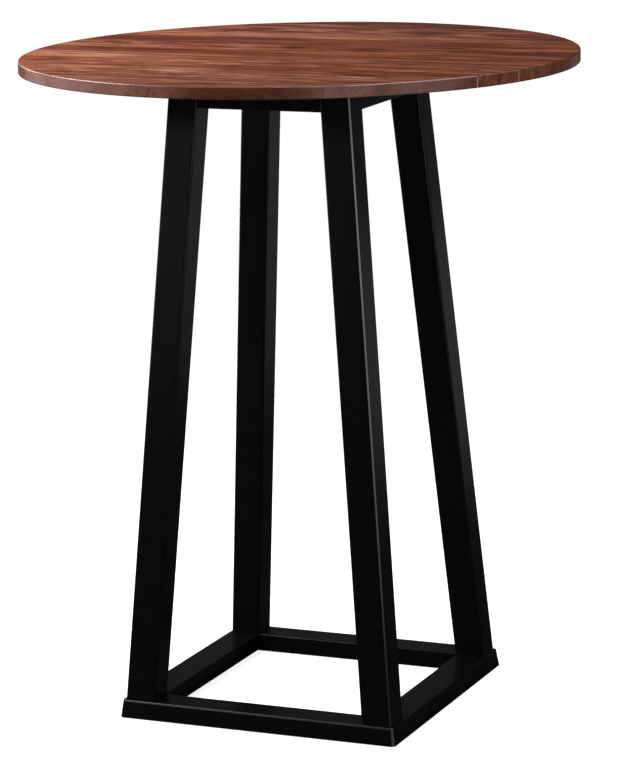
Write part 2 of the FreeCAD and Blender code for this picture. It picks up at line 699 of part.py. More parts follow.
def block_holes():
    stud = rod("hanger_block_drill", "sizes.hanger_diameter + sizes.bolt_clearance", f"-{BEYOND}",
               f"places.hanger_wood + {BEYOND}")
    studs = placed("block_stud_hole", stud, hanger_spots())
    clear = "(sizes.block_screw_diameter + sizes.bolt_clearance) / 2"
    wide = "(sizes.block_screw_head + sizes.counterbore_clearance) / 2"
    stepped = turned("block_screw_drill", [
        ("0", "-sizes.block_arm"), (wide, "-sizes.block_arm"), (wide, "0"), (clear, "0"),
        (clear, f"sizes.block_screw_seat + {BEYOND}"), ("0", f"sizes.block_screw_seat + {BEYOND}")])
    screws = placed("block_screw_hole", stepped, block_screw_spots())
    slots = placed("block_slot", slot_cutter(), top_screw_spots("places.block_foot"))
    return joined("block_holes", studs + screws + slots)


def slot_cutter():
    """A slot across the grain of the top, so that the top may shrink and swell under its screws."""
    width = "(sizes.top_screw_diameter + sizes.bolt_clearance)"
    straight = f"(sizes.top_screw_slot - {width})"
    low, high = f"-{BEYOND}", f"sizes.block_height + {BEYOND}"
    end = rod("slot_end", width, low, high)
    ends = placed("slot_end_copy", end, [("0", f"{sign} * {straight} / 2", "0", UP) for sign in (-1, 1)])
    middle = doc.addObject("Part::Box", "slot_middle")
    bind(middle, Length=width, Width=straight, Height=f"({high}) - ({low})")
    for axis, place in zip("xyz", (f"-{width} / 2", f"-{straight} / 2", low)):
        middle.setExpression(f"Placement.Base.{axis}", place)
    return joined("slot_cutter", ends + [middle])


def base_holes():
    clear = "(sizes.base_bolt_diameter + sizes.bolt_clearance) / 2"
    wide = "(sizes.base_washer_diameter + sizes.counterbore_clearance) / 2"
    top = f"sizes.base_bolt_seat + {BEYOND}"
    stepped = turned("base_bolt_drill", [("0", "-sizes.rail_height"), (wide, "-sizes.rail_height"),
                                         (wide, "0"), (clear, "0"), (clear, top), ("0", top)])
    bolts = placed("base_bolt_hole", stepped, base_bolt_spots("places.base_bolt_seat_z"))
    dowel_hole = dowel_drill("mitre_dowel_drill", "sizes.mitre_dowel_length")
    dowels = placed("mitre_hole", dowel_hole, mitre_dowel_spots())
    recess = "(sizes.glide_diameter + sizes.glide_slip) / 2"
    pilot = "(sizes.glide_screw_diameter + sizes.thread_slip) / 2"
    tip = "sizes.glide_screw_depth + sizes.glide_screw_length + sizes.end_gap"
    glide = turned("glide_drill", [
        ("0", f"-{BEYOND}"), (recess, f"-{BEYOND}"), (recess, "sizes.glide_thickness"),
        (pilot, "sizes.glide_thickness"), (pilot, tip), ("0", tip)])
    return joined("base_holes", bolts + dowels + placed("glide_hole", glide, glide_spots("0")))


# ---------------------------------------------------------------- building and writing

sizes = fill_sheet("sizes", [(alias, str(value), note) for alias, value, note in SIZES])
places = fill_sheet("places", [(alias, f"={formula}", "") for alias, formula in PLACES])
apron_dowel_drill = dowel_drill("apron_dowel_drill", "sizes.apron_dowel_length")

make_top()
leg_bars = make_legs(leg_holes())
make_aprons(apron_holes())
make_corner_blocks(leg_bars, block_holes())
make_base(base_holes())
make_dowels()
make_hangers()
make_screws()
make_base_bolts()
make_glides()
doc.recompute()

for item in doc.Objects:
    if "Invalid" in item.State or "Error" in item.State:
        raise RuntimeError(f"{item.Label} did not recompute: {item.State}")
for node in nodes:
    shape = node.Shape
    if shape.isNull() or not shape.isValid() or not shape.Solids:
        raise RuntimeError(f"{node.Label} has no valid solid")
    if node.TypeId != "Part::Compound" and len(shape.Solids) != 1:
        raise RuntimeError(f"{node.Label} came out in {len(shape.Solids)} pieces")

os.makedirs("parts", exist_ok=True)
for node in nodes:
    node.Shape.exportStep(f"parts/{node.Label}.step")
    box = node.Shape.BoundBox
    print(f"{node.Label:28s} {len(node.Shape.Solids):2d} solids, {node.Shape.Volume:10.0f} mm3, {box}")
print(len(nodes), "nodes")
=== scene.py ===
"""Dresses a packed bar-height table: a round walnut top, glued up from staves, on four black legs
that lean in from a flat, mitred base frame to a ring of aprons. Lengths are in metres, in the
frame's own axes: X along the grain of the top, -Y the front, +Z up.
"""
import json
import math
from collections import namedtuple

import bmesh
import bpy
from mathutils import Matrix, Vector


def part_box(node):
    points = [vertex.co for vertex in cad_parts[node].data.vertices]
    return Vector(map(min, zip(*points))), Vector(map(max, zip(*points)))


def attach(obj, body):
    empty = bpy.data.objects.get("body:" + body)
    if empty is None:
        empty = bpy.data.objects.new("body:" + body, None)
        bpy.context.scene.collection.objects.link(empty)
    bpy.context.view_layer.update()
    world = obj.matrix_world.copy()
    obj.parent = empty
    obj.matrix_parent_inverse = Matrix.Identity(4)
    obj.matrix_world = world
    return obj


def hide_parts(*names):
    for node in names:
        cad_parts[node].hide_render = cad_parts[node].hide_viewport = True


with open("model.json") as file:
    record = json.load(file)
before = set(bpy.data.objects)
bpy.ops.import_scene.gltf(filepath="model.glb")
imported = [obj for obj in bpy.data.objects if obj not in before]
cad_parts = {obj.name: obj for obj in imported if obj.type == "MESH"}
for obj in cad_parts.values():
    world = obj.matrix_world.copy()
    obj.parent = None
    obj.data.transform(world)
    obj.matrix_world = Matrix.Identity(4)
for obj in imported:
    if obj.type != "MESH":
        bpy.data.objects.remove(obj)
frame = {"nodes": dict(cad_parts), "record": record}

bl_info = {
    "name": "Round Bar-Height Table",
    "version": (1, 0, 0),
    "blender": (4, 5, 0),
    "location": "3D View > Sidebar > Table",
    "description": "Walnut staves, black lacquered frame, fasteners and a small studio",
    "category": "Object",
}

MM = 0.001
NEAR = 0.1 * MM       # points this close together count as one level
SPECK = 0.02 * MM     # points this close together are one point
STAVES = sorted(name for name in frame["nodes"] if name.startswith("top_stave_"))
CORNERS = ("front_left", "front_right", "back_left", "back_right")
SIDES = ("front", "back", "left", "right")
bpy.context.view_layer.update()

Stave = namedtuple("Stave", "tone_left tone_right heart_across heart_below wander_back wander_up rose glue")
# How each stave was sawn: its tone, dark (below 0) or light (above 0), at its left and right end, where
# the heart of the tree lies from its middle, across and below, how far the heart wanders to the back
# and up along a metre, whether its brown leans to orange (below 0) or to rose (above 0), and how clearly
# the pale line of the glued joint at its front shows, partly real and partly a painted highlight.
# A heart far to one side gives straight grain, one below gives arches.
STAVE_LOOKS = {
    "top_stave_01": Stave(-0.15, 0.05, -0.120, 0.060, 0.020, 0.015, 0.80, 0.0),
    "top_stave_02": Stave(0.15, 0.05, 0.090, 0.080, -0.030, 0.020, 0.40, 0.05),
    "top_stave_03": Stave(0.40, -0.30, -0.020, 0.055, 0.025, -0.030, 0.10, 0.18),
    "top_stave_04": Stave(-0.70, 0.15, 0.010, 0.045, 0.040, 0.035, -0.25, 0.70),
    "top_stave_05": Stave(0.70, -0.20, 0.130, 0.040, -0.015, 0.010, 0.05, 0.85),
    "top_stave_06": Stave(-0.60, -0.50, -0.110, 0.050, 0.020, -0.015, -0.35, 0.15),
    "top_stave_07": Stave(0.45, -0.60, 0.015, 0.050, -0.030, 0.040, 0.05, 0.15),
    "top_stave_08": Stave(-0.90, 0.00, -0.140, 0.045, 0.015, 0.010, -0.25, 0.15),
    "top_stave_09": Stave(0.50, -0.30, 0.150, 0.060, 0.025, -0.010, 0.30, 0.15),
    "top_stave_10": Stave(0.15, -0.50, -0.010, 0.050, -0.045, 0.030, 0.35, 0.15),
    "top_stave_11": Stave(-0.70, -0.10, 0.110, 0.070, 0.020, 0.020, 0.60, 0.15),
    "top_stave_12": Stave(-2.10, -1.80, -0.100, 0.060, -0.020, 0.010, 0.50, 0.15),
}
# Small knots: the stave, and the place of the knot on the top. A stave without a knot has one far away.
NO_KNOT = (5.0, 5.0)
KNOTS = {"top_stave_08": (0.232, 0.096), "top_stave_03": (0.222, -0.268), "top_stave_10": (-0.195, 0.305)}

Mark = namedtuple("Mark", "x y length width shade")
# Streaks that stand out of a stave's own figure: the middle of each on the top, half its length
# along the grain, half its width, and how much darker (below 0) or lighter (above 0) it is.
MARKS = {
    "top_stave_01": (Mark(-0.050, -0.400, 0.080, 0.010, 0.10),),
    "top_stave_02": (
        Mark(-0.065, -0.313, 0.030, 0.007, -0.40), Mark(-0.100, -0.337, 0.032, 0.009, 0.22),
        Mark(-0.030, -0.327, 0.032, 0.011, 0.20), Mark(0.250, -0.345, 0.090, 0.012, -0.28),
        Mark(-0.250, -0.320, 0.050, 0.010, -0.12)),
    "top_stave_03": (
        Mark(-0.260, -0.255, 0.110, 0.025, 0.22), Mark(-0.395, -0.255, 0.025, 0.012, -0.28),
        Mark(0.215, -0.262, 0.038, 0.011, -0.50), Mark(0.170, -0.285, 0.030, 0.012, -0.28),
        Mark(0.225, -0.289, 0.040, 0.007, 0.30), Mark(-0.100, -0.262, 0.090, 0.022, 0.30),
        Mark(0.080, -0.235, 0.060, 0.007, -0.16), Mark(-0.010, -0.266, 0.160, 0.040, 0.11)),
    "top_stave_04": (
        Mark(-0.350, -0.165, 0.022, 0.014, -0.32), Mark(-0.275, -0.203, 0.026, 0.007, 0.26),
        Mark(0.345, -0.172, 0.048, 0.006, -0.55), Mark(0.400, -0.186, 0.030, 0.005, -0.38),
        Mark(0.130, -0.185, 0.050, 0.007, -0.22), Mark(-0.180, -0.150, 0.080, 0.009, 0.12)),
    "top_stave_05": (
        Mark(-0.360, -0.100, 0.120, 0.030, 0.25), Mark(-0.100, -0.100, 0.120, 0.015, 0.08),
        Mark(0.420, -0.115, 0.030, 0.010, 0.18), Mark(0.080, -0.105, 0.090, 0.018, 0.14)),
    "top_stave_06": (
        Mark(-0.270, -0.020, 0.120, 0.020, -0.20), Mark(-0.115, -0.040, 0.022, 0.007, -0.34),
        Mark(-0.015, -0.020, 0.020, 0.006, -0.42), Mark(0.050, -0.032, 0.060, 0.007, 0.17),
        Mark(0.210, -0.020, 0.050, 0.009, -0.28), Mark(-0.360, -0.005, 0.050, 0.010, -0.16)),
    "top_stave_07": (
        Mark(-0.360, 0.068, 0.032, 0.005, -0.36), Mark(-0.175, 0.045, 0.030, 0.006, -0.34),
        Mark(-0.090, 0.040, 0.032, 0.007, -0.28), Mark(-0.030, 0.050, 0.026, 0.012, -0.38),
        Mark(-0.100, 0.022, 0.100, 0.006, 0.22), Mark(-0.380, 0.040, 0.060, 0.010, 0.26),
        Mark(0.250, 0.065, 0.090, 0.012, -0.22), Mark(0.120, 0.045, 0.090, 0.026, -0.34),
        Mark(0.050, 0.030, 0.050, 0.006, -0.22)),
    "top_stave_08": (
        Mark(-0.100, 0.165, 0.140, 0.010, -0.28), Mark(-0.060, 0.100, 0.100, 0.010, -0.24),
        Mark(0.220, 0.125, 0.090, 0.020, -0.22), Mark(0.232, 0.097, 0.024, 0.010, -0.45),
        Mark(-0.300, 0.130, 0.100, 0.020, -0.10), Mark(0.030, 0.150, 0.060, 0.009, 0.14)),
    "top_stave_09": (
        Mark(-0.270, 0.215, 0.140, 0.030, 0.18), Mark(-0.020, 0.200, 0.120, 0.018, 0.24),
        Mark(0.120, 0.215, 0.110, 0.025, 0.12), Mark(0.360, 0.245, 0.050, 0.009, -0.18),
        Mark(-0.100, 0.220, 0.100, 0.040, 0.08)),
    "top_stave_10": (
        Mark(-0.225, 0.272, 0.036, 0.007, -0.45), Mark(-0.140, 0.276, 0.022, 0.007, -0.40),
        Mark(-0.195, 0.312, 0.030, 0.012, -0.32), Mark(-0.050, 0.290, 0.024, 0.008, -0.30),
        Mark(0.300, 0.275, 0.120, 0.010, -0.28), Mark(-0.110, 0.300, 0.080, 0.024, 0.20),
        Mark(0.100, 0.302, 0.090, 0.028, -0.34)),
    "top_stave_11": (
        Mark(0.060, 0.352, 0.080, 0.009, -0.20), Mark(-0.100, 0.372, 0.095, 0.028, 0.34),
        Mark(0.120, 0.400, 0.150, 0.012, -0.25)),
    "top_stave_12": (Mark(0.150, 0.432, 0.220, 0.016, -0.35),),
}
# Where the sawn rim is darker: the stave, the middle along X, half the length, and how much.
DARK_RIM = (("top_stave_01", 0.085, 0.135, -0.42), ("top_stave_01", -0.18, 0.09, -0.12),
            ("top_stave_02", 0.32, 0.06, -0.10), ("top_stave_02", -0.29, 0.06, -0.36),
            ("top_stave_03", -0.37, 0.05, -0.34))
# How strongly a highlight is painted on the upper arris of the top at its right-hand front.
ARRIS_HIGHLIGHTS = {"top_stave_01": 0.45, "top_stave_02": 1.0, "top_stave_03": 0.9, "top_stave_04": 0.25}

KNOT_BROWN = (0.050, 0.034, 0.016)
END_GRAIN_BROWN = (0.09, 0.026, 0.015)
SPECK_BROWN = (0.07, 0.024, 0.016)
# the colour of the shade painted along the rim's lower edge
LOWER_ARRIS_SHADE_BROWN = (0.03, 0.012, 0.008)
# the colour of the highlight painted on the top's upper arris
ARRIS_HIGHLIGHT_PINK = (0.49, 0.29, 0.27)
# the colour of the glued joints' pale line, partly a painted highlight
GLUE_AND_HIGHLIGHT = (0.60, 0.40, 0.34)

# An edge along which a highlight is painted into the lacquer's colour: its two ends, and how much of it shows
# at each.
Highlight = namedtuple("Highlight", "start end shows_at_start shows_at_end")
Lamp = namedtuple("Lamp", "name place width height radiance")
Felt = namedtuple("Felt", "name radius low high ends colour casts_shadow")


# ---------------------------------------------------------------- settings a user would change

class WalnutSettings(bpy.types.PropertyGroup):
    """Colours and figure of the walnut."""
    deep: bpy.props.FloatVectorProperty(
        name="Deep Brown", description="Darkest streaks", subtype="COLOR", default=(0.125, 0.028, 0.012))
    brown: bpy.props.FloatVectorProperty(
        name="Brown", description="Middle of the heartwood", subtype="COLOR", default=(0.252, 0.073, 0.039))
    tan: bpy.props.FloatVectorProperty(
        name="Tan", description="Lightest streaks", subtype="COLOR", default=(0.50, 0.202, 0.112))
    ring_width: bpy.props.FloatProperty(
        name="Ring Width", description="Thickness of a growth ring", unit="LENGTH", default=0.0055)
    roughness: bpy.props.FloatProperty(
        name="Roughness", description="Of the clear lacquer on the walnut", subtype="FACTOR", default=0.28)


class LacquerSettings(bpy.types.PropertyGroup):
    """The black lacquer of the frame."""
    colour: bpy.props.FloatVectorProperty(
        name="Colour", description="Of the lacquer", subtype="COLOR", default=(0.0019, 0.0018, 0.0019))
    roughness: bpy.props.FloatProperty(
        name="Roughness", description="Of the lacquer", subtype="FACTOR", default=0.25)
    # the grey painted into the lacquer's colour as a highlight along some edges
    rubbed: bpy.props.FloatVectorProperty(
        name="Rubbed Edge", description="Colour where an edge is rubbed", subtype="COLOR",
        default=(0.32, 0.31, 0.32))
    rubbed_width: bpy.props.FloatProperty(
        name="Rubbed Width", description="From the sharp edge to the end of the rubbed wood", unit="LENGTH",
        default=0.0019)


class EdgeSettings(bpy.types.PropertyGroup):
    """How far the edges of the pieces are rounded."""
    rim: bpy.props.FloatProperty(
        name="Rim", description="Radius of the top's upper edge", unit="LENGTH", default=0.0022)
    rim_foot: bpy.props.FloatProperty(
        name="Rim Foot", description="Radius of the top's lower edge", unit="LENGTH", default=0.0008)
    leg: bpy.props.FloatProperty(
        name="Legs", description="Radius of a leg's long edges", unit="LENGTH", default=0.0035)
    rail: bpy.props.FloatProperty(
        name="Base Rails", description="Radius of the base frame's upper edges", unit="LENGTH", default=0.003)
    rail_foot: bpy.props.FloatProperty(
        name="Base Foot", description="Radius of the base frame's lower edges", unit="LENGTH", default=0.001)
    flare: bpy.props.FloatProperty(
        name="Base Flare", description="How far the base frame's outer faces spread towards their foot",
        unit="LENGTH", default=0.004)
    corner: bpy.props.FloatProperty(
        name="Base Corners", description="Radius of the base frame's corners", unit="LENGTH", default=0.008)
    apron: bpy.props.FloatProperty(
        name="Aprons", description="Radius of the aprons' lower edges", unit="LENGTH", default=0.0015)
    sawn: bpy.props.FloatProperty(
        name="Sawn Ends", description="Radius that sanding leaves at a sawn end", unit="LENGTH",
        default=0.0004)


class StudioSettings(bpy.types.PropertyGroup):
    """Camera, floor and the light from all round."""
    azimuth: bpy.props.FloatProperty(
        name="Azimuth", description="Of the camera, from the front to the right",
        subtype="ANGLE", default=math.radians(23.625))
    distance: bpy.props.FloatProperty(
        name="Distance", description="Of the camera from the table's axis", unit="LENGTH", default=5.5693)
    height: bpy.props.FloatProperty(
        name="Height", description="Of the camera", unit="LENGTH", default=1.7053)
    yaw: bpy.props.FloatProperty(
        name="Yaw", description="Of the camera away from the table's axis",
        subtype="ANGLE", default=math.radians(-0.113))
    pitch: bpy.props.FloatProperty(
        name="Pitch", description="Of the camera, downwards", subtype="ANGLE", default=math.radians(11.917))
    roll: bpy.props.FloatProperty(
        name="Roll", description="Of the camera", subtype="ANGLE", default=math.radians(-1.312))
    lens: bpy.props.FloatProperty(
        name="Lens", description="Focal length in millimetres on a 36 mm sensor", default=165.14)
    floor: bpy.props.FloatVectorProperty(
        name="Floor", description="Colour of the floor", subtype="COLOR", default=(0.78, 0.78, 0.78))
    ambient: bpy.props.FloatProperty(
        name="Ambient", description="Strength of the light from all round", default=0.28)


# ---------------------------------------------------------------- node trees

class Tree:
    """A short way of adding nodes to a node tree."""

    def __init__(self, tree):
        self.tree = tree

    def add(self, kind, sockets=None, **settings):
        """A node, its settings and its sockets: a value, or another node's output to link."""
        node = self.tree.nodes.new(kind)
        for name, value in settings.items():
            setattr(node, name, value)
        for name, value in (sockets or {}).items():
            if isinstance(value, bpy.types.NodeSocket):
                self.tree.links.new(value, node.inputs[name])
            else:
                node.inputs[name].default_value = value
        return node

    def math(self, operation, *values, clamp=False):
        node = self.add("ShaderNodeMath", dict(enumerate(values)), operation=operation, use_clamp=clamp)
        return node.outputs["Value"]

    def vector(self, operation, *values):
        node = self.add("ShaderNodeVectorMath", dict(enumerate(values)), operation=operation)
        return node.outputs["Value" if operation in ("LENGTH", "DOT_PRODUCT") else "Vector"]

    def parts(self, vector):
        node = self.add("ShaderNodeSeparateXYZ", {"Vector": vector})
        return node.outputs["X"], node.outputs["Y"], node.outputs["Z"]

    def join(self, x, y, z):
        return self.add("ShaderNodeCombineXYZ", {"X": x, "Y": y, "Z": z}).outputs["Vector"]

    def noise(self, place, per_metre, seed, detail=2.0, roughness=0.5, output="Factor"):
        """Noise that varies so many times in a metre along X, Y and Z."""
        return self.noise_on(self.vector("MULTIPLY", place, per_metre), seed, detail, roughness, output)

    def noise_on(self, vector, seed, detail=2.0, roughness=0.5, output="Factor"):
        """Noise whose grain is one unit of the vector."""
        sockets = {"Vector": vector, "W": seed, "Scale": 1.0, "Detail": detail, "Roughness": roughness}
        node = self.add("ShaderNodeTexNoise", sockets, noise_dimensions="4D")
        return node.outputs[0 if output == "Factor" else 1]

    def product(self, *values):
        """All values multiplied."""
        result = values[0]
        for value in values[1:]:
            result = self.math("MULTIPLY", result, value)
        return result

    def distance(self, value, place):
        """How far a value is from a place on its axis."""
        return self.math("ABSOLUTE", self.math("SUBTRACT", value, place))

    def ranged(self, value, low, high, start=0.0, end=1.0):
        """A soft step from start, where the value is low, to end, where it is high."""
        sockets = {"Value": value, "From Min": low, "From Max": high, "To Min": start, "To Max": end}
        return self.add("ShaderNodeMapRange", sockets, interpolation_type="SMOOTHSTEP").outputs["Result"]

    def mix(self, factor, first, second, blend="MIX"):
        """One colour laid over another."""
        node = self.add("ShaderNodeMix", data_type="RGBA", blend_type=blend, clamp_factor=True)
        # the node has sockets for every kind of data: for colours these are 0, 6 and 7, and 2
        for socket, value in ((node.inputs[0], factor), (node.inputs[6], first), (node.inputs[7], second)):
            if isinstance(value, bpy.types.NodeSocket):
                self.tree.links.new(value, socket)
            else:
                socket.default_value = value if isinstance(value, float) else (*value, 1.0)[:4]
        return node.outputs[2]

    def ramp(self, factor, stops):
        """Colours along a ramp: stops are (place, colour)."""
        node = self.add("ShaderNodeValToRGB", {"Fac": factor})
        elements = node.color_ramp.elements
        while len(elements) < len(stops):
            elements.new(1.0)
        for element, (place, colour) in zip(elements, stops):
            element.position = place
            element.color = (*colour, 1.0)
        return node.outputs["Color"]


def new_material(name):
    """A material with an empty tree and a Principled shader on its output."""
    material = bpy.data.materials.new(name)
    material.use_nodes = True
    material.node_tree.nodes.clear()
    tree = Tree(material.node_tree)
    shader = tree.add("ShaderNodeBsdfPrincipled")
    tree.add("ShaderNodeOutputMaterial", {"Surface": shader.outputs["BSDF"]})
    return material, tree, shader


def set_sockets(shader, **values):
    """Sets constants on the shader's own sockets. Spaces in their names are written as underscores."""
    for name, value in values.items():
        shader.inputs[name.replace("_", " ")].default_value = value


def connect(tree, source, shader, name):
    tree.tree.links.new(source, shader.inputs[name])


def dress(tree, shader, colour, rough, height, strength, depth, **constants):
    """Gives the shader its colour, its roughness, a bump so strong and so deep, and its constants."""
    bump = tree.add("ShaderNodeBump", {"Height": height, "Strength": strength, "Distance": depth})
    connect(tree, colour, shader, "Base Color")
    connect(tree, rough, shader, "Roughness")
    connect(tree, bump.outputs["Normal"], shader, "Normal")
    set_sockets(shader, **constants)


def walnut_group(settings):
    """Solid walnut as a node group: growth rings round a wandering heart, streaks, fibres and pores."""
    group = bpy.data.node_groups.new("walnut_figure", "ShaderNodeTree")
    for direction, kind, names in (
            ("INPUT", "NodeSocketVector", ("Point", "Heart", "Wander", "Knot")),
            ("INPUT", "NodeSocketFloat", ("Seed", "Tone", "Marks", "Contrast", "Rose")),
            ("OUTPUT", "NodeSocketColor", ("Color",)),
            ("OUTPUT", "NodeSocketFloat", ("Roughness", "Height"))):
        for name in names:
            group.interface.new_socket(name, in_out=direction, socket_type=kind)
    tree = Tree(group)
    given = tree.add("NodeGroupInput").outputs
    point, seed = given["Point"], given["Seed"]

    # a knot pushes the grain aside and darkens its middle
    from_knot = tree.vector("SUBTRACT", point, given["Knot"])
    knot_distance = tree.vector("LENGTH", tree.vector("MULTIPLY", from_knot, (0.32, 1.0, 0.3)))
    near_knot = tree.ranged(knot_distance, 0.002, 0.022, 1.0, 0.0)
    knot_dark = tree.ranged(knot_distance, 0.001, 0.009, 1.0, 0.0)
    aside = tree.product(near_knot, 0.75, tree.parts(from_knot)[1])
    bent = tree.vector("SUBTRACT", point, tree.join(0.0, aside, 0.0))

    # slow bends of the trunk, then the smaller waves of the grain
    for per_metre, amount in (((1.6, 9.0, 9.0), 0.018), ((9.0, 45.0, 45.0), 0.0024)):
        wave = tree.noise(point, per_metre, seed, output="Color")
        shift = tree.vector("MULTIPLY", tree.vector("SUBTRACT", wave, (0.5, 0.5, 0.5)), (0.0, amount, amount))
        bent = tree.vector("ADD", bent, shift)
    along = tree.parts(point)[0]
    drift = tree.vector("SCALE", given["Wander"])
    tree.tree.links.new(along, drift.node.inputs["Scale"])
    from_heart = tree.vector("SUBTRACT", tree.vector("SUBTRACT", bent, given["Heart"]), drift)
    _, across, up = tree.parts(from_heart)
    radius = tree.vector("LENGTH", tree.join(0.0, across, up))

    # growth rings, wider in good years, each ending in a dark line
    luck = tree.noise_on(tree.join(0.0, tree.math("MULTIPLY", radius, 35.0), 0.0), seed, 1.0)
    years = tree.math("DIVIDE", radius, settings.ring_width)
    season = tree.math("FRACT", tree.math("ADD", years, tree.math("MULTIPLY", luck, 2.4)))
    late = tree.math("MULTIPLY", tree.ranged(season, 0.25, 0.92), tree.ranged(season, 0.93, 1.0, 1.0, 0.0))

    def streak(length, width, side, detail):
        """Noise that follows the rings and runs along the grain, so many times in a metre each way."""
        grain = tree.join(tree.math("MULTIPLY", along, length), tree.math("MULTIPLY", radius, width),
                          tree.math("MULTIPLY", across, side))
        return tree.noise_on(grain, seed, detail, 0.62)

    broad = streak(1.6, 30.0, 6.0, 4.0)
    fine = tree.ranged(streak(5.0, 150.0, 15.0, 5.0), 0.39, 0.61)
    mottle = streak(18.0, 110.0, 50.0, 4.0)
    dark_line = tree.ranged(streak(9.0, 85.0, 20.0, 3.0), 0.56, 0.61)
    light_line = tree.ranged(streak(7.0, 75.0, 18.0, 3.0), 0.43, 0.38)
    fleck = tree.ranged(streak(36.0, 280.0, 120.0, 2.0), 0.60, 0.72)
    fibres = tree.noise(bent, (18.0, 1300.0, 1300.0), seed, 3.0, 0.6)
    pores = tree.ranged(tree.noise(bent, (110.0, 2100.0, 2100.0), seed, 1.0), 0.60, 0.70)

    figure = tree.math("MULTIPLY", tree.math("SUBTRACT", broad, 0.5), 0.80)
    for source, amount in ((fine, 0.32), (mottle, 0.70), (fibres, 0.25)):
        figure = tree.math("MULTIPLY_ADD", tree.math("SUBTRACT", source, 0.5), amount, figure)
    for source, amount in ((late, -0.08), (near_knot, -0.12), (dark_line, -0.26), (light_line, 0.18)):
        figure = tree.math("MULTIPLY_ADD", source, amount, figure)
    figure = tree.math("MULTIPLY", figure, given["Contrast"])
    marks = tree.math("MULTIPLY", given["Marks"], tree.math("MULTIPLY_ADD", fine, 0.7, 0.65))
    tone = tree.math("MULTIPLY_ADD", given["Tone"], 0.20, 0.47)
    shade = tree.math("ADD", tone, tree.math("ADD", figure, marks))
    colour = tree.ramp(shade, ((0.08, settings.deep), (0.47, settings.brown), (0.90, settings.tan)))
    colour = tree.mix(tree.product(given["Contrast"], 0.55, fleck), colour, settings.deep)
    colour = tree.mix(tree.math("MULTIPLY", pores, 0.40), colour, settings.deep)
    # the brown drifts between orange and rose
    hue = tree.noise(bent, (5.0, 26.0, 26.0), seed, 3.0, 0.6)
    rose = tree.math("ADD", tree.ranged(hue, 0.36, 0.64, -0.4, 0.6), given["Rose"])
    green, blue = (tree.math("MULTIPLY_ADD", rose, share, 1.0) for share in (0.20, 0.50))
    colour = tree.mix(1.0, colour, tree.join(1.0, green, blue), "MULTIPLY")
    colour = tree.mix(tree.math("MULTIPLY", knot_dark, 0.8), colour, KNOT_BROWN)

    rough = tree.math("MULTIPLY_ADD", fine, 0.10, settings.roughness - 0.05)
    rough = tree.math("MULTIPLY_ADD", pores, 0.12, rough)
    height = tree.math("SUBTRACT", tree.math("MULTIPLY", fibres, 0.35), tree.math("MULTIPLY", pores, 0.8))
    tree.add("NodeGroupOutput", {"Color": colour, "Roughness": rough, "Height": height})
    return group


def standing_streaks(tree, place, stave, seed):
    """How much darker or lighter the stave's marks make each point."""
    wave = tree.noise(place, (22.0, 60.0, 60.0), seed, 3.0, output="Color")
    shift = tree.vector("MULTIPLY", tree.vector("SUBTRACT", wave, (0.5, 0.5, 0.5)), (0.030, 0.014, 0.0))
    point = tree.vector("ADD", place, shift)
    total = 0.0
    for mark in MARKS.get(stave, ()):
        offset = tree.vector("SUBTRACT", point, (mark.x, mark.y, 0.0))
        shares = tree.vector("MULTIPLY", offset, (1 / mark.length, 1 / mark.width, 0.0))
        shade = tree.ranged(tree.vector("LENGTH", shares), 0.35, 1.15, mark.shade, 0.0)
        total = tree.math("ADD", total, shade)
    return total


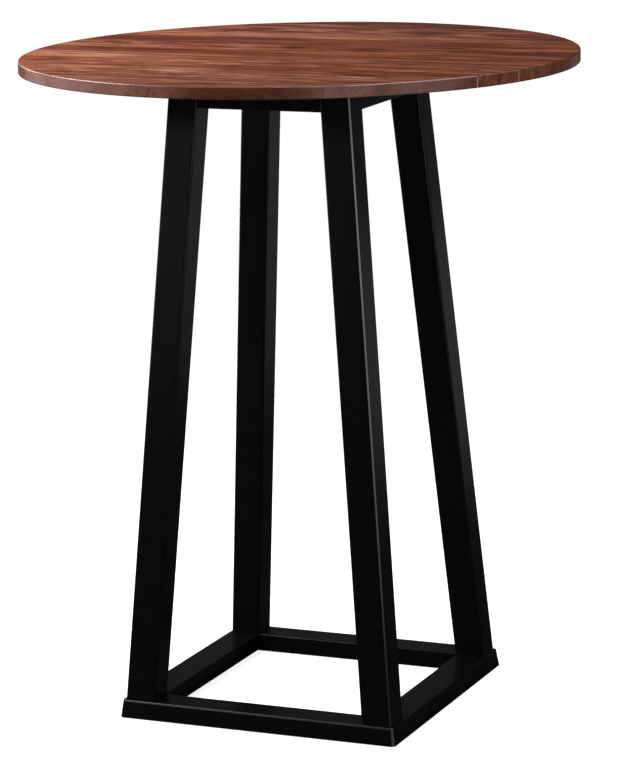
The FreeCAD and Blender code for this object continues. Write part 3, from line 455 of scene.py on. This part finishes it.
def walnut(name, group, middle, knot, seam, radius):
    """The walnut of one stave, with the pale line of its glued joint on its sawn rim, partly real and partly
    a painted highlight.
    """
    look = STAVE_LOOKS[name]
    seed = 7.3 * STAVES.index(name) + 1.7
    material, tree, shader = new_material(name)
    coordinates = tree.add("ShaderNodeTexCoord").outputs
    place = coordinates["Object"]
    point = tree.add("ShaderNodeMapping", {"Vector": place, "Location": -middle}).outputs["Vector"]
    x, y, z = tree.parts(place)
    facing_x, _, facing_up = tree.parts(coordinates["Normal"])
    level = tree.math("ABSOLUTE", facing_up)
    on_rim = tree.ranged(level, 0.5, 0.8, 1.0, 0.0)
    marks = standing_streaks(tree, place, name, seed)
    for stave, centre, length, shade in DARK_RIM:
        if stave == name:
            near = tree.ranged(tree.distance(x, centre), 0.4 * length, length, shade, 0.0)
            marks = tree.math("MULTIPLY_ADD", near, on_rim, marks)
    tone = tree.ranged(x, -radius, radius, look.tone_left, look.tone_right)
    contrast = tree.math("MULTIPLY_ADD", on_rim, -0.73, 1.08)
    figure = tree.add("ShaderNodeGroup", {}, node_tree=group)
    for socket, value in (("Point", point), ("Tone", tone), ("Marks", marks), ("Contrast", contrast)):
        connect(tree, value, figure, socket)
    set_sockets(figure, Heart=(0.0, look.heart_across, -look.heart_below), Seed=seed,
                Wander=(0.0, look.wander_back, look.wander_up), Knot=knot - middle, Rose=look.rose)

    # end grain drinks more of the finish and is darker, with open pores
    end_grain = tree.math("MULTIPLY", tree.math("ABSOLUTE", facing_x), 0.32)
    colour = tree.mix(end_grain, figure.outputs["Color"], END_GRAIN_BROWN)
    speck = tree.ranged(tree.noise(place, (160.0, 230.0, 110.0), seed, 3.0, 0.6), 0.50, 0.64, 0.0, 0.5)
    colour = tree.mix(tree.product(speck, on_rim), colour, SPECK_BROWN)
    # painted shade along the lower edge of the rim and its arris, and a painted highlight on the upper arris
    not_flat = tree.ranged(level, 0.93, 0.99, 1.0, 0.0)
    lower_arris_shade = tree.ranged(tree.math("SUBTRACT", z, middle.z), -0.0095, -0.0065, 0.85, 0.0)
    colour = tree.mix(tree.product(lower_arris_shade, not_flat), colour, LOWER_ARRIS_SHADE_BROWN)
    # a pinkish highlight painted on the upper arris at the right-hand front
    arris = tree.product(tree.ranged(facing_up, 0.1, 0.3), tree.ranged(facing_up, 0.93, 0.99, 1.0, 0.0))
    pale = tree.ranged(x, 0.12, 0.24, 0.0, ARRIS_HIGHLIGHTS.get(name, 0.0))
    colour = tree.mix(tree.product(arris, pale), colour, ARRIS_HIGHLIGHT_PINK)
    # the pale line of the glued joint on the rim, partly real and partly a painted highlight, stronger
    # towards the right
    glue = tree.ranged(tree.distance(y, seam), 0.0013, 0.0022, look.glue, 0.0)
    glue = tree.product(glue, on_rim, tree.ranged(x, -0.1, 0.2, 0.1, 0.75))
    colour = tree.mix(glue, colour, GLUE_AND_HIGHLIGHT)
    dress(tree, shader, colour, figure.outputs["Roughness"], figure.outputs["Height"], 0.12, 0.0002,
          Specular_IOR_Level=0.5)
    return material


def black_lacquer(name, settings, along, rubbed=()):
    """Black lacquer, with highlights painted along some edges, and a little of the grain, along X, Y or Z, in
    its gloss.
    """
    material, tree, shader = new_material(name)
    place = tree.add("ShaderNodeTexCoord").outputs["Object"]
    stretch = [260.0, 260.0, 260.0]
    stretch["XYZ".index(along)] = 9.0
    grain = tree.noise(place, tuple(stretch), 3.1, 4.0, 0.6)
    peel = tree.noise(place, (420.0, 420.0, 420.0), 8.7, 1.0)
    cloud = tree.noise(place, (5.0, 5.0, 5.0), 5.3, 2.0)
    colour = tree.mix(tree.ranged(grain, 0.35, 0.75), settings.colour, [1.35 * c for c in settings.colour])
    # each listed edge gets a painted highlight: a lighter grey in the lacquer's colour along it
    for edge in rubbed:
        run = edge.end - edge.start
        offset = tree.vector("SUBTRACT", place, edge.start)
        away = tree.vector("LENGTH", tree.vector("CROSS_PRODUCT", offset, run.normalized()))
        share = tree.vector("DOT_PRODUCT", offset, run / run.length_squared)
        shows = tree.product(tree.ranged(share, 0.0, 1.0, edge.shows_at_start, edge.shows_at_end),
                             tree.ranged(away, settings.rubbed_width, 1.5 * settings.rubbed_width, 1.0, 0.0))
        colour = tree.mix(shows, colour, settings.rubbed)
    rough = tree.math("MULTIPLY_ADD", cloud, 0.10, settings.roughness - 0.05)
    rough = tree.math("MULTIPLY_ADD", grain, 0.06, rough)
    height = tree.math("MULTIPLY_ADD", grain, 1.0, tree.math("MULTIPLY", peel, 0.35))
    dress(tree, shader, colour, rough, height, 0.10, 0.0003, Specular_IOR_Level=0.42)
    return material


def zinc(name):
    """Bright zinc plating, a little cloudy and finely scratched."""
    material, tree, shader = new_material(name)
    place = tree.add("ShaderNodeTexCoord").outputs["Object"]
    cloud = tree.noise(place, (240.0, 240.0, 240.0), 1.9, 3.0)
    scratch = tree.noise(place, (3000.0, 3000.0, 300.0), 4.4, 2.0)
    colour = tree.ramp(cloud, ((0.3, (0.42, 0.43, 0.45)), (0.7, (0.66, 0.67, 0.68))))
    rough = tree.math("MULTIPLY_ADD", scratch, 0.18, 0.24)
    dress(tree, shader, colour, rough, scratch, 0.15, 0.00005, Metallic=1.0)
    return material


def beech(name):
    """Bare beech with its short brown flecks."""
    material, tree, shader = new_material(name)
    place = tree.add("ShaderNodeTexCoord").outputs["Object"]
    bands = tree.noise(place, (160.0, 160.0, 700.0), 2.2, 3.0)
    flecks = tree.ranged(tree.noise(place, (500.0, 1600.0, 1600.0), 6.1, 1.0), 0.6, 0.7)
    colour = tree.ramp(bands, ((0.3, (0.50, 0.31, 0.18)), (0.7, (0.68, 0.47, 0.30))))
    colour = tree.mix(tree.math("MULTIPLY", flecks, 0.5), colour, (0.30, 0.16, 0.08))
    dress(tree, shader, colour, tree.math("MULTIPLY_ADD", bands, 0.15, 0.6), flecks, 0.2, 0.0001)
    return material


def nylon(name):
    """Black moulded nylon with a fine matt texture."""
    material, tree, shader = new_material(name)
    place = tree.add("ShaderNodeTexCoord").outputs["Object"]
    grit = tree.noise(place, (1800.0, 1800.0, 1800.0), 9.2, 2.0)
    colour = tree.ramp(grit, ((0.3, (0.012, 0.012, 0.012)), (0.7, (0.022, 0.022, 0.022))))
    dress(tree, shader, colour, tree.math("MULTIPLY_ADD", grit, 0.2, 0.45), grit, 0.3, 0.0001)
    return material


# ---------------------------------------------------------------- modelling helpers

def nothing_selected():
    """Leaves edit mode and deselects every object."""
    if bpy.context.object and bpy.context.object.mode != "OBJECT":
        bpy.ops.object.mode_set(mode="OBJECT")
    bpy.ops.object.select_all(action="DESELECT")


def only(piece):
    """Makes a piece the one that is selected and active."""
    nothing_selected()
    piece.select_set(True)
    bpy.context.view_layer.objects.active = piece


def copy_of(pattern, name):
    """A copy with a mesh of its own."""
    piece = pattern.copy()
    piece.data = pattern.data.copy()
    piece.name = name
    bpy.context.scene.collection.objects.link(piece)
    return piece


def discard(piece):
    """Takes away a pattern that has done its work."""
    mesh = piece.data
    bpy.data.objects.remove(piece)
    bpy.data.meshes.remove(mesh)


def at_level(height):
    """A test for edges that lie at one height."""
    return lambda a, b: abs(a.z - height) + abs(b.z - height) < NEAR


def select_edges(chosen):
    """In edit mode, selects the edges whose two ends pass the test."""
    mesh = bmesh.from_edit_mesh(bpy.context.object.data)
    bpy.context.tool_settings.mesh_select_mode = (False, True, False)
    for face in mesh.faces:
        face.select = False
    for edge in mesh.edges:
        edge.select = chosen(*(vertex.co for vertex in edge.verts))
    mesh.select_flush_mode()
    bmesh.update_edit_mesh(bpy.context.object.data)


def round_edges(piece, radius, segments, chosen):
    """Rounds the edges that the test picks out."""
    only(piece)
    bpy.ops.object.mode_set(mode="EDIT")
    select_edges(chosen)
    bpy.ops.mesh.bevel(offset=radius, offset_type="OFFSET", segments=segments, profile=0.5, affect="EDGES",
                       clamp_overlap=True)
    bpy.ops.object.mode_set(mode="OBJECT")


def ends(node):
    """The (low, high) corners of a CAD node's lower and upper end."""
    points = [vertex.co for vertex in frame["nodes"][node].data.vertices]
    low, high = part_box(node)
    found = []
    for height in (low.z, high.z):
        level = [point for point in points if abs(point.z - height) < NEAR / 2]
        found.append([Vector((pick(point.x for point in level), pick(point.y for point in level), height))
                      for pick in (min, max)])
    return found


def bar(name, node):
    """A bar between the two level ends of a CAD node."""
    foot, head = ends(node)
    nothing_selected()
    bpy.ops.mesh.primitive_plane_add(size=1, location=(foot[0] + foot[1]) / 2)
    piece = bpy.context.object
    piece.name = name
    piece.scale = (foot[1].x - foot[0].x, foot[1].y - foot[0].y, 1)
    bpy.ops.object.transform_apply(location=True, rotation=True, scale=True)
    bpy.ops.object.mode_set(mode="EDIT")
    bpy.ops.mesh.select_all(action="SELECT")
    lift = (head[0] + head[1] - foot[0] - foot[1]) / 2
    bpy.ops.mesh.extrude_region_move(TRANSFORM_OT_translate={"value": lift})
    wide, deep = ((head[1][axis] - head[0][axis]) / (foot[1][axis] - foot[0][axis]) for axis in range(2))
    bpy.ops.transform.resize(value=(wide, deep, 1), center_override=(head[0] + head[1]) / 2)
    bpy.ops.mesh.select_all(action="SELECT")
    bpy.ops.mesh.normals_make_consistent(inside=False)
    bpy.ops.object.mode_set(mode="OBJECT")
    return piece


def smooth(piece):
    """Smooth shading on the rounded edges that leaves the flat faces flat."""
    only(piece)
    bpy.ops.object.shade_smooth_by_angle(angle=math.radians(40))
    weighted = piece.modifiers.new("flat_faces_stay_flat", "WEIGHTED_NORMAL")
    weighted.keep_sharp = True
    bpy.ops.object.modifier_apply(modifier=weighted.name)


def finish_piece(piece, material, slot, *nodes):
    """Gives a finished piece its material and its body, and hides the CAD nodes that it stands for."""
    piece.data.materials.clear()
    piece.data.materials.append(material)
    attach(piece, "root")
    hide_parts(*nodes)


def paint_node(node, material):
    """A better material on a CAD node that stays."""
    for slot in frame["nodes"][node].material_slots:
        slot.material = material


# ---------------------------------------------------------------- the pieces

class TABLE_OT_staves(bpy.types.Operator):
    """The round top: one disc with rounded rims, sawn into its staves"""
    bl_idname = "table.staves"
    bl_label = "Staves of the Top"

    RIM_FACES = 720
    ROUND_STEPS = 4

    def execute(self, context):
        edges = context.scene.table_edges
        low = Vector(min(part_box(stave)[0][axis] for stave in STAVES) for axis in range(3))
        high = Vector(max(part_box(stave)[1][axis] for stave in STAVES) for axis in range(3))
        radius = (high.x - low.x) / 2
        nothing_selected()
        bpy.ops.mesh.primitive_cylinder_add(vertices=self.RIM_FACES, radius=radius, depth=high.z - low.z,
                                            location=(0, 0, (low.z + high.z) / 2))
        bpy.ops.object.transform_apply(location=True, rotation=True, scale=True)
        disc = context.object
        for size, height in ((edges.rim, high.z), (edges.rim_foot, low.z)):
            round_edges(disc, size, self.ROUND_STEPS, at_level(height))
        group = walnut_group(context.scene.table_walnut)
        for stave in STAVES:
            self.saw(disc, stave, radius, group)
        discard(disc)
        return {"FINISHED"}

    @staticmethod
    def saw(disc, stave, radius, group):
        """Cuts one stave out of a copy of the disc."""
        low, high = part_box(stave)
        piece = copy_of(disc, f"{stave}_walnut")
        only(piece)
        bpy.ops.object.mode_set(mode="EDIT")
        for y, side in ((low.y, -1), (high.y, 1)):
            if abs(y) < radius - MM:
                bpy.ops.mesh.select_all(action="SELECT")
                bpy.ops.mesh.bisect(plane_co=(0, y, 0), plane_no=(0, side, 0),
                                    use_fill=True, clear_outer=True)
        bpy.ops.object.mode_set(mode="OBJECT")
        smooth(piece)
        middle = Vector((0, (low.y + high.y) / 2, (low.z + high.z) / 2))
        x, y = KNOTS.get(stave, NO_KNOT)
        material = walnut(stave, group, middle, Vector((x, y, high.z)), low.y, radius)
        finish_piece(piece, material, "walnut", stave)


class TABLE_OT_legs(bpy.types.Operator):
    """The four legs: square bars that lean both ways, with rounded long edges"""
    bl_idname = "table.legs"
    bl_label = "Legs"

    def execute(self, context):
        edges = context.scene.table_edges
        for corner in CORNERS:
            node = f"leg_{corner}"
            foot, head = ends(node)
            outer = [Vector((points[1].x, points[0].y, points[0].z)) for points in (foot, head)]
            # a painted highlight along the front right leg's outer front edge, faint at its foot and full at
            # its head
            rubbed = (Highlight(*outer, 0.05, 1.0),) if corner == "front_right" else ()
            material = black_lacquer(f"black_lacquer_{node}", context.scene.table_lacquer, "Z", rubbed)
            piece = bar(f"{node}_lacquered", node)
            half_way = (head[0].z - foot[0].z) / 2
            round_edges(piece, edges.leg, 6, lambda a, b: abs(a.z - b.z) > half_way)
            round_edges(piece, edges.sawn, 2, lambda a, b: abs(a.z - b.z) < NEAR)
            smooth(piece)
            finish_piece(piece, material, "black_lacquer", node)
        return {"FINISHED"}


class TABLE_OT_aprons(bpy.types.Operator):
    """The four aprons, flush with the legs' leaning faces"""
    bl_idname = "table.aprons"
    bl_label = "Aprons"

    def execute(self, context):
        edges = context.scene.table_edges
        for side in SIDES:
            node = f"apron_{side}"
            along = "X" if side in ("front", "back") else "Y"
            piece = bar(f"{node}_lacquered", node)
            low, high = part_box(node)
            length = high["XYZ".index(along)] - low["XYZ".index(along)]
            round_edges(piece, edges.apron, 4,
                        lambda a, b: max(a.z, b.z) < low.z + NEAR and (a - b).length > length / 2)
            smooth(piece)
            material = black_lacquer(f"black_lacquer_{node}", context.scene.table_lacquer, along)
            finish_piece(piece, material, "black_lacquer", node)
        return {"FINISHED"}


class TABLE_OT_base_frame(bpy.types.Operator):
    """The base frame: rounded as one piece and parted at its mitres into four rails"""
    bl_idname = "table.base_frame"
    bl_label = "Base Frame"

    def execute(self, context):
        edges = context.scene.table_edges
        rails = {side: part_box(f"base_rail_{side}") for side in SIDES}
        bottom, top = rails["front"][0].z, rails["front"][1].z
        width = rails["front"][1].y - rails["front"][0].y
        half = Vector((rails["right"][1].x, rails["back"][1].y))
        nothing_selected()
        bpy.ops.mesh.primitive_plane_add(size=2, location=(0, 0, bottom))
        frame_piece = context.object
        frame_piece.scale = (half.x, half.y, 1)
        bpy.ops.object.transform_apply(location=True, rotation=True, scale=True)
        bpy.ops.object.mode_set(mode="EDIT")
        bpy.ops.mesh.select_all(action="SELECT")
        bpy.ops.mesh.inset(thickness=width)
        bpy.ops.mesh.delete(type="FACE")
        bpy.ops.mesh.select_all(action="SELECT")
        bpy.ops.mesh.extrude_region_move(TRANSFORM_OT_translate={"value": (0, 0, top - bottom)})
        select_edges(lambda a, b: min(a.z, b.z) > top - NEAR and min(abs(a.x), abs(b.x)) > half.x - MM)
        bpy.ops.transform.resize(value=(1 - edges.flare / half.x, 1 - edges.flare / half.y, 1),
                                 center_override=(0, 0, top))
        bpy.ops.mesh.select_all(action="SELECT")
        bpy.ops.mesh.normals_make_consistent(inside=False)
        bpy.ops.object.mode_set(mode="OBJECT")
        half_way = (top - bottom) / 2
        round_edges(frame_piece, edges.corner, 6,
                    lambda a, b: abs(a.z - b.z) > half_way and max(abs(a.x), abs(b.x)) > half.x - MM)
        # the mitre lines on the flat faces aren't edges of the frame, so they stay sharp
        for radius, height in ((edges.rail, top), (edges.rail_foot, bottom)):
            is_level = at_level(height)
            round_edges(frame_piece, radius, 4,
                        lambda a, b: is_level(a, b) and not self.is_mitre(a, b, half.x - width, half.x))
        upper = half - Vector((edges.flare, edges.flare))
        # the middle of a rounded corner lies 0.3 of its radius inside the sharp one, both ways
        corner = Vector((half.x - 0.3 * edges.corner, 0.3 * edges.corner - half.y, bottom))
        lean = Vector((-edges.flare, edges.flare, top - bottom))
        # painted highlights along the front rail's upper outer arris and up the frame's front right corner
        rubbed = (Highlight(Vector((-upper.x, -upper.y, top)), Vector((upper.x, -upper.y, top)), 0.14, 0.09),
                  Highlight(corner, corner + lean, 0.13, 0.13))
        for side in SIDES:
            self.part(context, frame_piece, side, half, rubbed if side in ("front", "right") else ())
        discard(frame_piece)
        return {"FINISHED"}

    @staticmethod
    def is_mitre(a, b, inner, outer):
        """Whether an edge runs from the window out to the frame's outer edge."""
        reach = sorted(max(abs(point.x), abs(point.y)) for point in (a, b))
        return reach[0] < inner + MM and reach[1] > outer - 10 * MM

    def part(self, context, whole, side, half, rubbed):
        """Cuts one rail out of a copy of the frame, along the mitres at its two ends."""
        node = f"base_rail_{side}"
        piece = copy_of(whole, f"{node}_lacquered")
        only(piece)
        outward = {"front": (0, -1), "back": (0, 1), "left": (-1, 0), "right": (1, 0)}[side]
        bpy.ops.object.mode_set(mode="EDIT")
        for turn in (-1, 1):
            along = Vector((-outward[1] * turn, outward[0] * turn, 0))
            out = Vector((*outward, 0))
            bpy.ops.mesh.select_all(action="SELECT")
            bpy.ops.mesh.bisect(plane_co=(half.x * (out + along).x, half.y * (out + along).y, 0),
                                plane_no=along - out, use_fill=True, clear_outer=True)
        bpy.ops.mesh.select_all(action="SELECT")
        bpy.ops.mesh.remove_doubles(threshold=SPECK)
        bpy.ops.mesh.normals_make_consistent(inside=False)
        bpy.ops.object.mode_set(mode="OBJECT")
        smooth(piece)
        along = "X" if side in ("front", "back") else "Y"
        material = black_lacquer(f"black_lacquer_{node}", context.scene.table_lacquer, along, rubbed)
        finish_piece(piece, material, "black_lacquer", node)


class TABLE_OT_small_parts(bpy.types.Operator):
    """Finishes of the corner blocks, glides, dowels and fasteners"""
    bl_idname = "table.small_parts"
    bl_label = "Small Parts"

    def execute(self, context):
        blocks = black_lacquer("black_lacquer_blocks", context.scene.table_lacquer, "X")
        finishes = {"zinc_steel": zinc("zinc"), "bare_beech": beech("beech"), "nylon": nylon("nylon")}
        for part in frame["record"]["subparts"]:
            if part["node"].startswith("corner_block_"):
                paint_node(part["node"], blocks)
            elif part["material_slot"] in finishes:
                paint_node(part["node"], finishes[part["material_slot"]])
        return {"FINISHED"}


# ---------------------------------------------------------------- the studio

class TABLE_OT_studio(bpy.types.Operator):
    """Floor, white surroundings, soft lamps, dark felt and the camera"""
    bl_idname = "table.studio"
    bl_label = "Studio"

    LAMPS = (
        Lamp("softbox_left", (-1.50, -0.50, 2.02), 1.1, 0.85, 17.5),
        Lamp("softbox_back_left", (-1.65, 0.55, 1.60), 0.7, 0.7, 5.0),
        Lamp("softbox_above_left", (-0.90, -0.75, 2.50), 0.6, 0.5, 3.0),
        Lamp("strip_above_right", (1.12, 0.08, 2.90), 1.4, 0.22, 16.0),
        Lamp("card_left", (-1.75, -0.45, 0.72), 2.4, 0.6, 1.1),
        Lamp("card_right", (1.89, -1.22, 0.88), 2.2, 0.75, 1.05),
        Lamp("card_right_low", (1.89, -1.22, 0.30), 2.2, 0.4, 0.4),
        Lamp("card_front_left", (-1.20, -2.45, 0.86), 0.6, 0.5, 0.50),
        Lamp("card_back_right", (1.00, 2.30, 0.30), 1.3, 0.48, 0.19),
        Lamp("card_back_middle", (0.62, 2.42, 0.72), 0.45, 0.35, 0.25),
        Lamp("card_back_floor", (0.50, 1.75, 0.03), 1.0, 0.35, 0.10),
        Lamp("card_back_left", (-1.10, 2.40, 0.55), 1.6, 0.6, 0.07),
    )
    MIDDLE = Vector((0, 0, 0.95))
    CLOTHS = (
        Felt("black_tent", 3.2, 0.0005, 3.4005, "NGON", (0.03, 0.03, 0.03), False),
        # a grey sheet hung just under the top, unseen by the camera, that casts shade on the heads of the
        # legs and the aprons and shows in their reflections
        Felt("shading_skirt", 0.44, 0.960, 1.045, "NOTHING", (0.14, 0.14, 0.14), True),
    )

    def execute(self, context):
        settings = context.scene.table_studio
        self.make_world(context, settings)
        self.make_floor(settings)
        for lamp in self.LAMPS:
            self.make_lamp(context, lamp)
        for felt in self.CLOTHS:
            self.hang_cloth(felt)
        self.make_camera(context, settings)
        context.scene.view_settings.view_transform = "Standard"
        return {"FINISHED"}

    @staticmethod
    def seen_rays(tree):
        """1 for the rays that should see the white surroundings as they are."""
        rays = tree.add("ShaderNodeLightPath").outputs
        seen = tree.math("ADD", rays["Is Camera Ray"], rays["Is Glossy Ray"], clamp=True)
        return tree.math("ADD", seen, rays["Is Transmission Ray"], clamp=True)

    def make_world(self, context, settings):
        """White where it is seen, and a soft light from all round."""
        world = bpy.data.worlds.new("studio_world")
        world.use_nodes = True
        world.node_tree.nodes.clear()
        tree = Tree(world.node_tree)
        strength = tree.math("MULTIPLY_ADD", self.seen_rays(tree), 1.0 - settings.ambient, settings.ambient)
        sky = tree.add("ShaderNodeBackground", {"Color": (1.0, 1.0, 1.0, 1.0), "Strength": strength})
        tree.add("ShaderNodeOutputWorld", {"Surface": sky.outputs["Background"]})
        context.scene.world = world

    def make_floor(self, settings):
        """A pale matt floor that keeps the table's shadow and looks white where the light falls."""
        nothing_selected()
        bpy.ops.mesh.primitive_plane_add(size=60, location=(0, 0, 0))
        floor = bpy.context.object
        floor.name = "studio_floor"
        material = bpy.data.materials.new("studio_floor")
        material.use_nodes = True
        material.node_tree.nodes.clear()
        tree = Tree(material.node_tree)
        matt = tree.add("ShaderNodeBsdfDiffuse", {"Color": (*settings.floor, 1.0)})
        white = tree.math("MULTIPLY", self.seen_rays(tree), 0.8)
        glow = tree.add("ShaderNodeEmission", {"Color": (1.0, 1.0, 1.0, 1.0), "Strength": white})
        both = tree.add("ShaderNodeAddShader", {0: matt.outputs[0], 1: glow.outputs[0]})
        tree.add("ShaderNodeOutputMaterial", {"Surface": both.outputs[0]})
        floor.data.materials.append(material)

    def make_lamp(self, context, lamp):
        """A softbox or card that faces the upper part of the table."""
        data = bpy.data.lights.new(lamp.name, "AREA")
        data.shape = "RECTANGLE"
        data.size = lamp.width
        data.size_y = lamp.height
        data.energy = lamp.radiance * lamp.width * lamp.height * math.pi
        softbox = bpy.data.objects.new(lamp.name, data)
        softbox.location = lamp.place
        softbox.rotation_mode = "QUATERNION"
        softbox.rotation_quaternion = (Vector(lamp.place) - self.MIDDLE).to_track_quat("Z", "Y")
        softbox.visible_camera = False
        context.scene.collection.objects.link(softbox)

    @staticmethod
    def hang_cloth(felt):
        """Felt round the set, or round the heads of the legs, which is seen in reflections alone; the felt
        under the top also casts shade.
        """
        nothing_selected()
        bpy.ops.mesh.primitive_cylinder_add(
            vertices=48, radius=felt.radius, depth=felt.high - felt.low,
            location=(0, 0, (felt.low + felt.high) / 2), end_fill_type=felt.ends)
        cloth = bpy.context.object
        cloth.name = felt.name
        material, _, shader = new_material(felt.name)
        set_sockets(shader, Base_Color=(*felt.colour, 1.0), Roughness=1.0, Specular_IOR_Level=0.0)
        cloth.data.materials.append(material)
        cloth.visible_camera = False
        cloth.visible_diffuse = False
        cloth.visible_transmission = False
        cloth.visible_shadow = felt.casts_shadow
        cloth.visible_volume_scatter = False

    def make_camera(self, context, settings):
        """The camera, to the right of the front and a little above the top."""
        data = bpy.data.cameras.new("camera")
        data.sensor_width = 36
        data.lens = settings.lens
        data.clip_end = 100
        camera = bpy.data.objects.new("camera", data)
        turn = settings.azimuth + settings.yaw
        ahead = math.cos(settings.pitch)
        forward = Vector((-math.sin(turn) * ahead, math.cos(turn) * ahead, -math.sin(settings.pitch)))
        right = forward.cross(Vector((0, 0, 1))).normalized()
        up = right.cross(forward)
        level = Matrix((right, up, -forward)).transposed()
        place = Vector((math.sin(settings.azimuth) * settings.distance,
                        -math.cos(settings.azimuth) * settings.distance, settings.height))
        turned = level @ Matrix.Rotation(settings.roll, 3, "Z")
        camera.matrix_world = Matrix.Translation(place) @ turned.to_4x4()
        context.scene.collection.objects.link(camera)
        context.scene.camera = camera


class TABLE_PT_sidebar(bpy.types.Panel):
    """The table's settings and pieces in the sidebar"""
    bl_label = "Bar-Height Table"
    bl_idname = "TABLE_PT_sidebar"
    bl_space_type = "VIEW_3D"
    bl_region_type = "UI"
    bl_category = "Table"

    def draw(self, context):
        for name in SETTINGS:
            box = self.layout.box()
            settings = getattr(context.scene, name)
            for prop in settings.bl_rna.properties:
                if prop.identifier in type(settings).__annotations__:
                    box.prop(settings, prop.identifier)
        for operator in OPERATORS:
            self.layout.operator(operator.bl_idname)


SETTINGS = {"table_walnut": WalnutSettings, "table_lacquer": LacquerSettings, "table_edges": EdgeSettings,
            "table_studio": StudioSettings}
OPERATORS = (TABLE_OT_staves, TABLE_OT_legs, TABLE_OT_aprons, TABLE_OT_base_frame, TABLE_OT_small_parts,
             TABLE_OT_studio)


def register():
    for kind in (*SETTINGS.values(), *OPERATORS, TABLE_PT_sidebar):
        bpy.utils.register_class(kind)
    for name, kind in SETTINGS.items():
        setattr(bpy.types.Scene, name, bpy.props.PointerProperty(type=kind))


def unregister():
    for name in SETTINGS:
        delattr(bpy.types.Scene, name)
    for kind in (TABLE_PT_sidebar, *reversed(OPERATORS), *reversed(SETTINGS.values())):
        bpy.utils.unregister_class(kind)


def main():
    register()
    bpy.ops.table.staves()
    bpy.ops.table.legs()
    bpy.ops.table.aprons()
    bpy.ops.table.base_frame()
    bpy.ops.table.small_parts()
    bpy.ops.table.studio()


if __name__ == "__main__":
    main()
